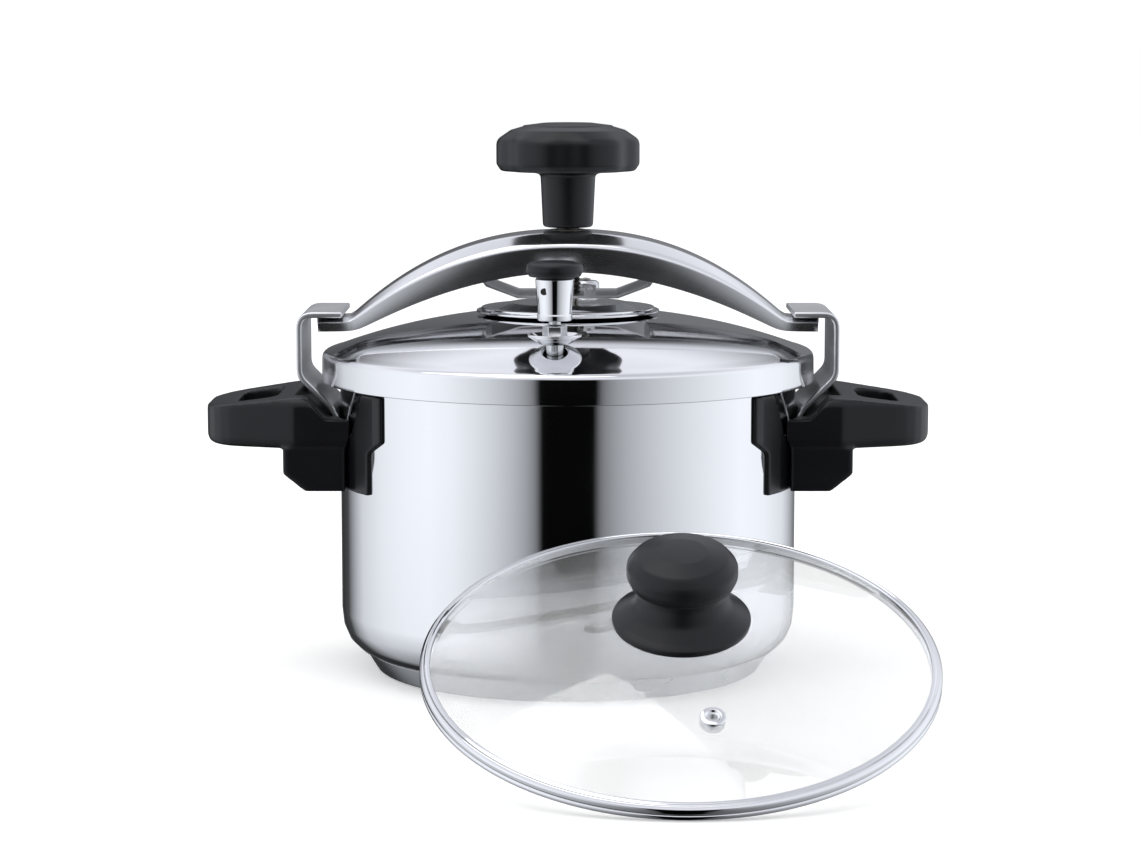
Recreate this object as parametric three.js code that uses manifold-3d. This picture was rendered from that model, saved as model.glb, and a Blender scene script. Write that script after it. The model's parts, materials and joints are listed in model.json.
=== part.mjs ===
// Stovetop pressure cooker with a screw-down bridge over its lid, and a second glass lid leaning on it.
// Millimetres, +Z up. The origin is the centre of the base, on the surface that the pot stands on.
import * as THREE from "three";
import { mergeVertices } from "three/addons/utils/BufferGeometryUtils.js";
import Module from "manifold-3d";

const wasm = await Module();
wasm.setup();

// Driving dimensions

const gap = 0.3; // between pieces that touch
const wideRound = 40; // facets of the pot and of the lids
const glassRound = 36; // facets of the glass lid
const smallRound = 16; // facets of stems, nuts and screws

const pot = {
  innerRadius: 110,
  wall: 1.2,
  cornerRadius: 22,
  floor: 8,
  height: 142,
  beadReach: 1.8,
  beadHeight: 1.4,
};
pot.outerRadius = pot.innerRadius + pot.wall;
pot.rim = pot.floor + pot.height;

const base = { inset: 17.2, flare: 6.2, sheet: 0.8 };
base.footRadius = pot.outerRadius - base.inset;
base.topRadius = base.footRadius + base.flare;

const lid = {
  skirtGap: 7.6,
  sheet: 1.2,
  foldRadius: 4,
  skirtDrop: 8.4,
  shoulderRise: 1.4,
  domeRise: 20,
  domePower: 2.25,
  flatRadius: 32,
};
lid.innerRadius = pot.outerRadius + lid.skirtGap;
lid.radius = lid.innerRadius + lid.sheet;
lid.skirtBottom = pot.rim - lid.skirtDrop;
lid.foldHeight = pot.rim + lid.shoulderRise;
lid.shoulder = lid.foldHeight + lid.foldRadius;
lid.domeRadius = lid.radius - lid.foldRadius / 2;

const gasket = { reach: 1.6, height: 3, chamfer: 1.7 };
gasket.innerRadius = pot.innerRadius - gasket.reach;

const cup = { rimRadius: 44.6, seatRadius: 35.5, plateauRadius: 28, sheet: 1.5, rise: 4.5, step: 1 };

const spindle = { radius: 6.5, tipRadius: 5, grooveRadius: 4, length: 59, tip: 3.8 };
const clip = { outerRadius: 8, thickness: 0.8, slot: 4 };

const bridge = {
  clearOfCup: 35.8,
  sideDepth: 19.2,
  wall: 2,
  halfWidth: 28,
  tabHalfWidth: 18,
  crownPower: 2.33,
  lowerPower: 1.9,
  tabHeight: 7.1,
  shoulderShare: 0.22,
  stations: 20,
};
const bush = { neckRadius: 9, flangeRadius: 12, flangeHeight: 6, bodyRadius: 10, length: 15.4 };
const strip = { halfFlat: 24, halfSpan: 39, rise: 5.6, tail: 4, sheet: 1.2, aboveCup: 3.6 };
const lug = { width: 5.5, height: 6, offset: 10.7, holeRadius: 1.2 };

const hook = {
  sheet: 2.8,
  width: 56,
  lip: 20.7,
  clearOfLid: 7.7,
  overLidShoulder: 21.9,
  bend: 7,
  sweep: 12,
  sweepAbovePot: -2,
  footHeight: 30,
  bossRadius: 5,
  bossLength: 4.7,
};

const handle = {
  length: 64.1,
  halfWidth: 45,
  endHalfWidth: 36,
  slot: 0.5,
  gripHeight: 24.7,
  gripTop: 13.6,
  edgeRound: 4,
  topSlope: 6,
  blockDepth: 20,
  blockLength: 24.8,
  blockHalfWidth: 44.5,
  blockChamfer: 10.4,
  pocketDepth: 5.4,
  pocketReach: 19.8,
  holeStart: 29.8,
  holeLength: 19,
  holeHalfWidth: 22,
  shoulder: 7,
};
const collar = {
  sheet: 1.8,
  upperHalfWidth: 70.5,
  lowerHalfWidth: 61,
  above: 10,
  upperHeight: 22,
  height: 48,
  notchHalfWidth: 46,
  notchTopHalfWidth: 57,
};
const screw = { radius: 2.5, headRadius: 4.5, headHeight: 3.2, sink: 4 };

const knob = {
  radius: 34.8,
  lobes: 6,
  scallop: 2.4,
  rimHeight: 19,
  edgeRound: 5,
  crownRadius: 23,
  crownHeight: 5,
  stemTopRadius: 13.5,
  stemBottomRadius: 12.3,
  stemLength: 26.7,
  aboveBridge: 0.7,
};

const valve = { x: -6, y: -89, stemRadius: 4, pipeRadius: 2.8, boreRadius: 1.2, dishRadius: 12.7 };
const nut = { acrossCorners: 11.6, height: 3.6, tallHeight: 7.2 };
const weight = { bottomRadius: 8, topRadius: 9, height: 19.9, aboveDish: 6.4, sideHole: 1.6 };
const cap = { radius: 13.1, height: 7.3 };
const safety = { x: 9, y: 75, stemRadius: 4, bodyRadius: 7, flangeRadius: 8, height: 13.6, pinRadius: 1.6, travel: 2.5 };

const glass = {
  overPot: 1,
  tilt: 20.5,
  x: 48,
  pane: 3,
  rise: 20,
  lip: 4.5,
  lipWall: 2.2,
  rimLow: -1.2,
  rimHigh: 4.8,
  knobHeight: 34.8,
  knobRadius: 23.4,
  flangeRadius: 29.6,
  waistRadius: 18.5,
  screwRadius: 2.5,
  ventX: 10.9,
  ventY: -63,
  ventRadius: 5.5,
};
glass.radius = pot.innerRadius + glass.overPot;

// Materials

const finish = (color, roughness, metalness) => new THREE.MeshStandardMaterial({ color, roughness, metalness });
const steel = finish(0xd4d6d8, 0.12, 1);
const satinSteel = finish(0xa9abad, 0.35, 1);
const threadSteel = finish(0x6a675c, 0.4, 1);
const aluminium = finish(0xb9bbbd, 0.5, 1);
const plastic = finish(0x17181b, 0.45, 0);
const rubber = finish(0x1c1c1c, 0.8, 0);
const clear = new THREE.MeshStandardMaterial({ color: 0xe8f0ee, roughness: 0.05, transparent: true, opacity: 0.3 });

// Solids: closed geometries, and how they are joined and cut

function solidOf(geometry) {
  const loose = geometry.index ? geometry.toNonIndexed() : geometry.clone();
  loose.deleteAttribute("normal");
  loose.deleteAttribute("uv");
  const merged = mergeVertices(loose, 1e-4);
  const vertProperties = merged.attributes.position.array;
  return new wasm.Manifold(
    new wasm.Mesh({ numProp: 3, vertProperties, triVerts: new Uint32Array(merged.index.array) }),
  );
}

function geometryOf(solid) {
  const { vertProperties, triVerts } = solid.getMesh();
  return new THREE.BufferGeometry()
    .setAttribute("position", new THREE.BufferAttribute(vertProperties, 3))
    .setIndex(new THREE.BufferAttribute(triVerts, 1));
}

const join = (...parts) => geometryOf(parts.map(solidOf).reduce((all, part) => all.add(part)));
const cut = (part, ...tools) =>
  geometryOf(tools.map(solidOf).reduce((left, tool) => left.subtract(tool), solidOf(part)));
const overlap = (...parts) => geometryOf(parts.map(solidOf).reduce((all, part) => all.intersect(part)));

function arc(x, y, radius, from, to, steps) {
  return Array.from({ length: steps + 1 }, (_, i) => {
    const angle = THREE.MathUtils.degToRad(from + ((to - from) * i) / steps);
    return [x + radius * Math.cos(angle), y + radius * Math.sin(angle)];
  });
}

const outline = (points) => new THREE.Shape(points.map(([x, y]) => new THREE.Vector2(x, y)));

// Turned about Z from (radius, height) points, which start and end on the axis or close on themselves.
function turned(profile, facets = wideRound) {
  const points = profile.map(([radius, height]) => new THREE.Vector2(radius, height));
  if (THREE.ShapeUtils.area(points) < 0) points.reverse();
  const onAxis = points[0].x === 0 && points.at(-1).x === 0;
  if (!onAxis) points.push(points[0].clone());
  return new THREE.LatheGeometry(points, facets).rotateX(Math.PI / 2);
}

const rod = (radius, low, high, facets = smallRound) =>
  turned([[0, low], [radius, low], [radius, high], [0, high]], facets);

const alongX = (geometry) => geometry.rotateY(Math.PI / 2);

// An (x, y) outline raised from low to high, with its edges rounded.
function upright(shape, low, high, round = 0) {
  return new THREE.ExtrudeGeometry(shape, {
    depth: high - low - 2 * round,
    curveSegments: 6,
    bevelEnabled: round > 0,
    bevelThickness: round,
    bevelSize: round,
    bevelOffset: -round,
    bevelSegments: 2,
  }).translate(0, 0, low + round);
}

// An (x, z) outline, width wide along Y.
const crosswise = (shape, width, y = 0) =>
  upright(shape, -width / 2, width / 2)
    .rotateX(Math.PI / 2)
    .translate(0, y, 0);

// A (y, z) outline that runs along X.
const lengthwise = (shape, from, to) => upright(shape, from, to).rotateX(Math.PI / 2).rotateZ(Math.PI / 2);

// The outline of a bent strip of sheet along a line of (x, z) points.
function sheetOutline(points, thickness) {
  const line = points.map(([x, y]) => new THREE.Vector2(x, y));
  const side = (sign) =>
    line.map((point, i) => {
      const before = line[Math.max(i - 1, 0)];
      const after = line[Math.min(i + 1, line.length - 1)];
      const into = point.clone().sub(before).normalize();
      const out = after.clone().sub(point).normalize();
      const along = into.add(out).normalize();
      const start = i === 0 ? after.clone().sub(point) : point.clone().sub(before);
      const mitre = 1 / Math.max(0.5, along.dot(start.normalize()));
      const reach = (sign * thickness * mitre) / 2;
      return [point.x - along.y * reach, point.y + along.x * reach];
    });
  return outline([...side(-1), ...side(1).reverse()]);
}

// Pot and base

// Height of the pot's outer surface above the stove, where its bottom corner passes a radius.
function potUnderside(radius) {
  const inCorner = Math.max(0, radius - (pot.outerRadius - pot.cornerRadius));
  return pot.floor + pot.cornerRadius - Math.sqrt(pot.cornerRadius ** 2 - inCorner ** 2);
}

function potBody() {
  const cornerX = pot.outerRadius - pot.cornerRadius;
  const cornerZ = pot.floor + pot.cornerRadius;
  const bead = pot.outerRadius + pot.beadReach;
  return turned([
    [0, pot.floor],
    ...arc(cornerX, cornerZ, pot.cornerRadius, -90, 0, 5),
    [pot.outerRadius, pot.rim - 2 * pot.beadHeight],
    [bead, pot.rim - pot.beadHeight],
    [bead, pot.rim],
    [pot.innerRadius, pot.rim],
    ...arc(cornerX, cornerZ, pot.cornerRadius - pot.wall, 0, -90, 5),
    [0, pot.floor + pot.wall],
  ]);
}

const baseTop = potUnderside(base.topRadius - base.sheet) - 2 * gap;

function baseCap() {
  return turned([
    [0, 0],
    [base.footRadius, 0],
    [base.topRadius, baseTop],
    [base.topRadius - base.sheet, baseTop],
    [base.footRadius - base.sheet, base.sheet],
    [0, base.sheet],
  ]);
}

function baseCore() {
  const top = pot.floor - gap;
  const flare = (base.topRadius - base.footRadius) / baseTop;
  const inset = base.sheet + 2 * gap;
  return turned([
    [0, base.sheet + gap],
    [base.footRadius - inset, base.sheet + gap],
    [base.footRadius - inset + flare * (top - base.sheet), top],
    [0, top],
  ]);
}

// Lid

const domeHeight = (radius) => lid.shoulder + lid.domeRise * (1 - (radius / lid.domeRadius) ** lid.domePower);

const valveRing = Math.hypot(valve.x, valve.y);
const safetyRing = Math.hypot(safety.x, safety.y);

function lidShell() {
  const shares = [0.9, 0.78, 0.6, 0.42];
  const radii = [...shares.map((share) => share * lid.domeRadius), lid.flatRadius];
  const dome = radii.map((radius) => [radius, domeHeight(radius)]);
  const top = domeHeight(lid.flatRadius);
  const fold = (radius, from, to) => arc(lid.radius - lid.foldRadius, lid.foldHeight, radius, from, to, 2);
  const shell = turned([
    [lid.radius, lid.skirtBottom],
    ...fold(lid.foldRadius, 0, 70),
    ...dome,
    [0, top],
    [0, top - lid.sheet],
    ...dome.map(([radius, height]) => [radius, height - lid.sheet]).reverse(),
    ...fold(lid.foldRadius - lid.sheet, 70, 0),
    [lid.innerRadius, lid.skirtBottom],
  ]);
  const drill = (x, y, radius) => rod(radius + gap, pot.rim, top + 1).translate(x, y, 0);
  return cut(shell, drill(valve.x, valve.y, valve.stemRadius), drill(safety.x, safety.y, safety.stemRadius));
}

function lidGasket() {
  const low = pot.rim + gap;
  const outer = lid.innerRadius - 2 * gap;
  return turned([
    [gasket.innerRadius, low],
    [outer, low],
    [outer, low + gasket.height - gasket.chamfer],
    [outer - gasket.chamfer, low + gasket.height],
    [gasket.innerRadius, low + gasket.height],
  ]);
}

const cupSeat = domeHeight(cup.seatRadius) + gap;
const cupTop = cupSeat + cup.rise;

function pressureCup() {
  const hole = spindle.tipRadius + gap;
  const under = cupTop - cup.sheet;
  const flange = cupSeat + cup.sheet;
  return turned(
    [
      [hole, under],
      [cup.plateauRadius, under],
      [cup.seatRadius, cupSeat],
      [cup.rimRadius, cupSeat],
      [cup.rimRadius, flange],
      [cup.rimRadius - 2.5, flange],
      [cup.rimRadius - 2.5, flange + cup.step],
      [cup.rimRadius - 6.5, flange + cup.step],
      [cup.plateauRadius, cupTop],
      [hole, cupTop],
    ],
    28,
  );
}

// Spindle, its clip and the bush that it turns in

const shoulder = cupTop + gap;
const clipTop = cupTop - cup.sheet - 2 * gap;

function spindleScrew() {
  const tipEnd = cupTop - spindle.tip;
  return turned(
    [
      [0, tipEnd],
      [spindle.tipRadius, tipEnd],
      [spindle.tipRadius, clipTop - clip.thickness - gap / 2],
      [spindle.grooveRadius, clipTop - clip.thickness - gap / 2],
      [spindle.grooveRadius, clipTop + gap / 2],
      [spindle.tipRadius, clipTop + gap / 2],
      [spindle.tipRadius, shoulder],
      [spindle.radius, shoulder],
      [spindle.radius, shoulder + spindle.length],
      [0, shoulder + spindle.length],
    ],
    smallRound,
  );
}

function spindleClip() {
  const low = clipTop - clip.thickness;
  const ring = turned(
    [
      [spindle.grooveRadius + gap, low],
      [clip.outerRadius, low],
      [clip.outerRadius, clipTop],
      [spindle.grooveRadius + gap, clipTop],
    ],
    smallRound,
  );
  const slot = new THREE.BoxGeometry(clip.outerRadius * 2, clip.slot, clip.thickness * 4);
  return cut(ring, slot.translate(clip.outerRadius, 0, clipTop));
}

const crown = cupTop + bridge.clearOfCup;
const bushTop = crown - gap;

function bridgeBush() {
  const bore = spindle.radius + gap;
  const flangeTop = crown - bridge.wall - 4 * gap;
  const flangeBottom = flangeTop - bush.flangeHeight;
  return turned(
    [
      [bore, bushTop - bush.length],
      [bush.bodyRadius, bushTop - bush.length],
      [bush.bodyRadius, flangeBottom],
      [bush.flangeRadius, flangeBottom],
      [bush.flangeRadius, flangeTop],
      [bush.neckRadius, flangeTop],
      [bush.neckRadius, bushTop],
      [bore, bushTop],
    ],
    24,
  );
}

// Hooks

const hookInner = lid.radius + hook.clearOfLid;
const hookLine = hookInner + hook.sheet / 2;
const plateUnder = lid.foldHeight + hook.overLidShoulder;
const tabTop = plateUnder - gap;
const tabLength = hookLine - hook.bend;

// The strap leaves its foot at 45 degrees, and sweeps round into its upright leg.
const hookFootRadius = pot.outerRadius + gap;
const footLine = hookFootRadius + hook.sheet / 2;
const sweepZ = pot.rim + hook.sweepAbovePot;
const sweptX = hookLine - hook.sweep * (1 - Math.SQRT1_2);
const footBend = sweepZ - hook.sweep * Math.SQRT1_2 - (sweptX - footLine);
const screwHeight = footBend - 22.5;

function steelHook() {
  const plateLine = plateUnder + hook.sheet / 2;
  const bendX = hookLine - hook.bend;
  const strap = crosswise(
    sheetOutline(
      [
        [hookInner - hook.lip, plateLine],
        ...arc(bendX, plateLine - hook.bend, hook.bend, 90, 0, 4),
        ...arc(hookLine - hook.sweep, sweepZ, hook.sweep, 0, -45, 3),
        [footLine, footBend],
      ],
      hook.sheet,
    ),
    hook.width,
  );
  const footHigh = footBend + 1;
  const foot = overlap(
    turned([
      [hookFootRadius, footHigh - hook.footHeight],
      [hookFootRadius + hook.sheet, footHigh - hook.footHeight],
      [hookFootRadius + hook.sheet, footHigh],
      [hookFootRadius, footHigh],
    ]),
    new THREE.BoxGeometry(pot.outerRadius, hook.width, 200).translate(pot.outerRadius, 0, footHigh),
  );
  const boss = alongX(rod(hook.bossRadius, 0, hook.bossLength)).translate(
    hookFootRadius + hook.sheet - 1,
    0,
    screwHeight,
  );
  const bore = alongX(rod(screw.radius + gap, 0, 20)).translate(hookFootRadius + hook.sheet, 0, screwHeight);
  return cut(join(strap, foot, boss), rod(hookFootRadius, 0, pot.rim, wideRound), bore);
}

// Side handles

const wall = pot.outerRadius;
const gripTop = pot.rim - handle.gripTop;
const gripLow = gripTop - handle.gripHeight;
const gripEnd = wall + handle.length;
const blockLow = gripLow - handle.blockDepth;
const blockEnd = wall + handle.blockLength;
const gripFace = wall + gap + collar.sheet + handle.slot;

function sideGrip() {
  const taperStart = wall + handle.blockLength - handle.blockChamfer / 2;
  const taperEnd = gripEnd - 18;
  const plan = new THREE.Shape();
  plan.moveTo(wall - 15, -handle.halfWidth);
  plan.lineTo(taperStart, -handle.halfWidth);
  plan.lineTo(taperEnd, -handle.endHalfWidth);
  plan.quadraticCurveTo(gripEnd - 1, -handle.endHalfWidth + 5, gripEnd, -handle.endHalfWidth / 3);
  plan.lineTo(gripEnd, handle.endHalfWidth / 3);
  plan.quadraticCurveTo(gripEnd - 1, handle.endHalfWidth - 5, taperEnd, handle.endHalfWidth);
  plan.lineTo(taperStart, handle.halfWidth);
  plan.lineTo(wall - 15, handle.halfWidth);
  const grip = upright(plan, gripLow, gripTop, handle.edgeRound);
  const block = crosswise(
    outline([
      [wall - 5, blockLow],
      [blockEnd - handle.blockChamfer, blockLow],
      [blockEnd, blockLow + handle.blockChamfer * 0.8],
      [blockEnd, gripLow + 1],
      [wall - 5, gripLow + 1],
    ]),
    2 * handle.blockHalfWidth,
  );
  const strapEnd = hookFootRadius + hook.sheet + 2 * gap;
  const corridorLow = footBend - 2 * gap;
  const pocketLow = gripTop - handle.pocketDepth;
  const pocket = crosswise(
    outline([
      [wall - 5, blockLow - 1],
      [strapEnd, blockLow - 1],
      [strapEnd, corridorLow],
      [strapEnd + pocketLow - corridorLow, pocketLow],
      [wall + handle.pocketReach, pocketLow],
      [wall + handle.pocketReach, gripTop + 1],
      [wall - 5, gripTop + 1],
    ]),
    hook.width + 2 * gap,
  );
  const notch = crosswise(
    outline([
      [wall - 20, corridorLow],
      [strapEnd, corridorLow],
      [strapEnd + gripTop + 1 - corridorLow, gripTop + 1],
      [wall - 20, gripTop + 1],
    ]),
    2 * handle.halfWidth + 2,
  );
  const shoulders = [-1, 1].map((side) =>
    new THREE.BoxGeometry(handle.length, handle.shoulder, handle.shoulder)
      .rotateX(Math.PI / 4)
      .rotateZ((-side * (handle.halfWidth - handle.endHalfWidth)) / (taperEnd - taperStart))
      .translate(taperStart + handle.length / 2 + 2, side * (handle.halfWidth - 1), gripTop - 1),
  );
  const slope = crosswise(
    outline([
      [taperStart, gripTop],
      [gripEnd + 1, gripTop - handle.topSlope],
      [gripEnd + 1, gripTop + 1],
      [taperStart, gripTop + 1],
    ]),
    2 * handle.halfWidth + 2,
  );
  const holeStart = wall + handle.holeStart;
  const holeEnd = holeStart + handle.holeLength;
  const corner = 6;
  const across = handle.holeHalfWidth;
  const hole = upright(
    outline([
      ...arc(holeEnd - corner, across - corner, corner, 0, 90, 3),
      ...arc(holeStart + corner, across - corner, corner, 90, 180, 3),
      ...arc(holeStart + corner, corner - across, corner, 180, 270, 3),
      ...arc(holeEnd - corner, corner - across, corner, 270, 360, 3),
    ]),
    gripLow - 1,
    gripTop + 1,
  );
  const bossEnd = hookFootRadius + hook.sheet - 1 + hook.bossLength;
  const bossHole = alongX(rod(hook.bossRadius + gap, 0, bossEnd + gap)).translate(0, 0, screwHeight);
  const screwHole = alongX(rod(screw.radius + gap, 0, gripEnd)).translate(0, 0, screwHeight);
  const headHole = alongX(rod(screw.headRadius + gap, 0, gripEnd)).translate(
    blockEnd - screw.sink - screw.headHeight - gap,
    0,
    screwHeight,
  );
  const potSpace = rod(gripFace, 0, 200, wideRound);
  return cut(join(grip, block), potSpace, pocket, notch, slope, ...shoulders, hole, bossHole, screwHole, headHole);
}

function handleCollar() {
  const top = pot.rim - collar.above;
  const low = top - collar.height;
  const step = top - collar.upperHeight;
  const slot = hook.width / 2 + 2 * gap;
  const windowLow = footBend - hook.footHeight;
  const half = [
    [collar.lowerHalfWidth, low],
    [collar.lowerHalfWidth, step - 6],
    [collar.upperHalfWidth, step],
    [collar.upperHalfWidth, top],
    [collar.notchTopHalfWidth, top],
    [collar.notchHalfWidth, footBend - 8],
    [slot, footBend - 8],
    [slot, windowLow],
  ];
  const mirrored = half.map(([y, z]) => [-y, z]).reverse();
  const inner = pot.outerRadius + gap;
  const ring = turned([
    [inner, low],
    [inner + collar.sheet, low],
    [inner + collar.sheet, top],
    [inner, top],
  ]);
  return overlap(ring, lengthwise(outline([...half, ...mirrored]), 0, 2 * pot.outerRadius));
}

function handleScrew() {
  const start = hookFootRadius + hook.sheet + 2 * gap;
  const headStart = blockEnd - screw.sink - screw.headHeight;
  return alongX(
    turned(
      [
        [0, start],
        [screw.radius, start],
        [screw.radius, headStart],
        [screw.headRadius, headStart],
        [screw.headRadius, headStart + screw.headHeight],
        [0, headStart + screw.headHeight],
      ],
      12,
    ),
  ).translate(0, 0, screwHeight);
}

// Bridge: a crowned channel that arches over the lid, with a tab at each end under the hooks

const tabStart = hookInner - hook.lip;
const tabLow = tabTop - bridge.tabHeight;
const lowerEdge = crown - bridge.sideDepth;
const crownDrop = crown - tabTop + 1.5;
const lowerDrop = lowerEdge - tabLow + 2.5;
const crownAt = (x) => Math.max(crown - crownDrop * Math.abs(x / tabStart) ** bridge.crownPower, tabTop);
const lowerAt = (x) => Math.max(lowerEdge - lowerDrop * Math.abs(x / tabStart) ** bridge.lowerPower, tabLow);
const archFoot = tabStart * ((crown - tabTop) / crownDrop) ** (1 / bridge.crownPower);

// Stations are even over the arch, and the last step on each side is the whole tab.
function stationX(share, end) {
  const footShare = 1 - 2 / bridge.stations;
  const along = Math.abs(share);
  return Math.sign(share) * (along < footShare + 0.001 ? (along / footShare) * archFoot : end);
}

const halfWidthAt = (x) =>
  Math.max(bridge.halfWidth - (bridge.halfWidth - bridge.tabHalfWidth) * (x / tabStart) ** 2, bridge.tabHalfWidth);

// The arch as a full block, drawn in by inset all over, with its underside lowered by below.
function archBlock(inset, below) {
  const bend = bridge.shoulderShare;
  const half = [[1, -1], [1, -1.6 * bend], [0.93, -bend], [0.7, -0.5 * bend], [0.35, -0.14 * bend]];
  const section = outline([...half, [0, 0], ...half.map(([u, v]) => [-u, v]).reverse()]);
  const block = new THREE.ExtrudeGeometry(section, { depth: 1, steps: bridge.stations, bevelEnabled: false });
  const position = block.attributes.position;
  for (let i = 0; i < position.count; i += 1) {
    const x = stationX(2 * position.getZ(i) - 1, tabLength + inset + 2);
    const across = position.getX(i) * (halfWidthAt(x) - inset);
    const up = position.getY(i);
    const depth = crownAt(x) - lowerAt(x);
    const height = up === -1 ? lowerAt(x) - below : crownAt(x) - inset + up * depth;
    position.setXYZ(i, x, across, height);
  }
  return block;
}

function bridgeArch() {
  const channel = cut(archBlock(0, 0), archBlock(bridge.wall, 20), rod(bush.neckRadius + gap, 0, crown + 1, 24));
  return overlap(channel, rod(tabLength, 0, crown + 1, 96));
}

function bridgeStrip() {
  const flat = cupTop + strip.aboveCup + strip.sheet / 2;
  const end = strip.halfSpan + strip.tail;
  const half = [
    [strip.halfFlat, flat],
    [strip.halfSpan, flat + strip.rise],
    [end, flat + strip.rise + 1.3 * strip.tail],
  ];
  const width = 2 * (halfWidthAt(end) - bridge.wall - gap);
  const line = [...half.map(([x, z]) => [-x, z]).reverse(), ...half];
  const ear = new THREE.BoxGeometry(lug.width, strip.sheet, lug.height);
  ear.translate(lug.offset, (strip.sheet - width) / 2, flat + lug.height / 2);
  const earHole = rod(lug.holeRadius, -5, 5, 12)
    .rotateX(Math.PI / 2)
    .translate(lug.offset, -width / 2, flat + lug.height - 2);
  const body = join(crosswise(sheetOutline(line, strip.sheet), width), ear);
  return cut(body, earHole, rod(spindle.radius + 4 * gap, 0, crown));
}

// Clamp knob

function clampKnob() {
  const low = crown + knob.aboveBridge;
  const under = low + knob.stemLength;
  const count = 8 * knob.lobes;
  const edge = Array.from({ length: count }, (_, i) => {
    const angle = (i / count) * 2 * Math.PI;
    const dip = (0.5 + 0.5 * Math.cos(knob.lobes * (angle + Math.PI / 2))) ** 3;
    const radius = knob.radius - knob.scallop * dip;
    return [radius * Math.cos(angle), radius * Math.sin(angle)];
  });
  const head = upright(outline(edge), under, under + knob.rimHeight, knob.edgeRound);
  const top = under + knob.rimHeight;
  const cover = turned(
    [
      [0, under + 1],
      [knob.radius - 7, under + 1],
      [knob.radius - 7, top],
      [knob.crownRadius, top + 0.55 * knob.crownHeight],
      [knob.crownRadius - 0.6, top + 0.8 * knob.crownHeight],
      [knob.crownRadius / 2, top + knob.crownHeight],
      [0, top + knob.crownHeight],
    ],
    36,
  );
  const stem = turned(
    [
      [0, low],
      [knob.stemBottomRadius - 1.5, low],
      [knob.stemBottomRadius, low + 1.5],
      [knob.stemTopRadius, under - 2],
      [knob.stemTopRadius + 3, under + 1],
      [0, under + 1],
    ],
    24,
  );
  const socket = rod(spindle.radius + gap, 0, shoulder + spindle.length + gap);
  return cut(join(head, cover, stem), socket);
}

// Working valve on the front of the lid

const dishLow = domeHeight(valveRing - 6.5) + gap;
const weightLow = dishLow + 4.6 + weight.aboveDish;
const weightTop = weightLow + weight.height;

function valveStem() {
  const pipeStart = dishLow + 8.6;
  const pipeTop = weightLow + 13.6;
  return turned(
    [
      [valve.boreRadius, dishLow - 10.5],
      [valve.stemRadius, dishLow - 10.5],
      [valve.stemRadius, pipeStart],
      [valve.pipeRadius, pipeStart + 0.6],
      [valve.pipeRadius, pipeTop],
      [valve.boreRadius, pipeTop + 0.5],
    ],
    16,
  ).translate(valve.x, valve.y, 0);
}

function valveDish() {
  const hole = valve.stemRadius + gap;
  return turned(
    [
      [hole, dishLow],
      [6.5, dishLow],
      [valve.dishRadius, dishLow + 3.9],
      [valve.dishRadius, dishLow + 4.8],
      [6.2, dishLow + 1],
      [hole, dishLow + 1],
    ],
    24,
  ).translate(valve.x, valve.y, 0);
}

// A hexagonal nut with its top at a height, on the axis at (x, y).
function hexNut(x, y, stemRadius, top, height) {
  const hexagon = outline(arc(0, 0, nut.acrossCorners / 2, 0, 300, 5));
  const hole = rod(stemRadius + gap, top - height - 1, top + 1, 16);
  return cut(upright(hexagon, top - height, top), hole).translate(x, y, 0);
}

function valveWeight() {
  const bore = valve.pipeRadius + 0.5;
  const boreTop = weightLow + 14.4;
  const body = turned(
    [
      [0, boreTop],
      [bore, boreTop],
      [bore, weightLow],
      [weight.bottomRadius - 1, weightLow],
      [weight.bottomRadius, weightLow + 1],
      [weight.topRadius, weightTop - 1],
      [weight.topRadius - 0.4, weightTop],
      [0, weightTop],
    ],
    24,
  );
  const hole = rod(weight.sideHole, 3.2, 20, 12)
    .rotateX(Math.PI / 2)
    .translate(-0.54 * weight.topRadius, 0, weightTop - 6.1);
  return cut(body, hole).translate(valve.x, valve.y, 0);
}

function valveCap() {
  const low = weightTop + gap;
  return turned(
    [
      [0, low],
      [cap.radius - 1.6, low],
      [cap.radius, low + 1.2],
      [cap.radius, low + 0.7 * cap.height],
      [cap.radius - 2.2, low + 0.94 * cap.height],
      [0, low + cap.height],
    ],
    24,
  ).translate(valve.x, valve.y, 0);
}

// Safety valve on the back of the lid

const safetySeat = domeHeight(safetyRing - safety.flangeRadius) + gap;
const safetyTop = safetySeat + safety.height;
const safetyLow = domeHeight(safetyRing + nut.acrossCorners / 2) - lid.sheet - gap - nut.height - 1;

function safetyBody() {
  const bore = safety.pinRadius + gap;
  return turned(
    [
      [bore, safetyLow],
      [safety.stemRadius, safetyLow],
      [safety.stemRadius, safetySeat],
      [safety.flangeRadius, safetySeat],
      [safety.flangeRadius, safetySeat + 2.2],
      [safety.bodyRadius, safetySeat + 3],
      [safety.bodyRadius, safetyTop - 1.4],
      [safety.bodyRadius - 1.4, safetyTop],
      [bore, safetyTop],
    ],
    24,
  ).translate(safety.x, safety.y, 0);
}

function safetyPin() {
  const headTop = safetyLow - safety.travel - gap;
  return turned(
    [
      [0, headTop - 1],
      [2 * safety.pinRadius, headTop - 1],
      [2 * safety.pinRadius, headTop],
      [safety.pinRadius, headTop],
      [safety.pinRadius, safetyTop + gap],
      [1.6 * safety.pinRadius, safetyTop + gap],
      [1.6 * safety.pinRadius, safetyTop + 1],
      [0, safetyTop + 1.5],
    ],
    12,
  ).translate(safety.x, safety.y, 0);
}

// Glass lid, in its own frame: its axis is Z, and the pane's lower edge is at zero

const paneRadius = glass.radius - glass.lipWall - gap;
const paneUnder = (radius) => glass.rise * (1 - (radius / paneRadius) ** 2);

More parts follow.
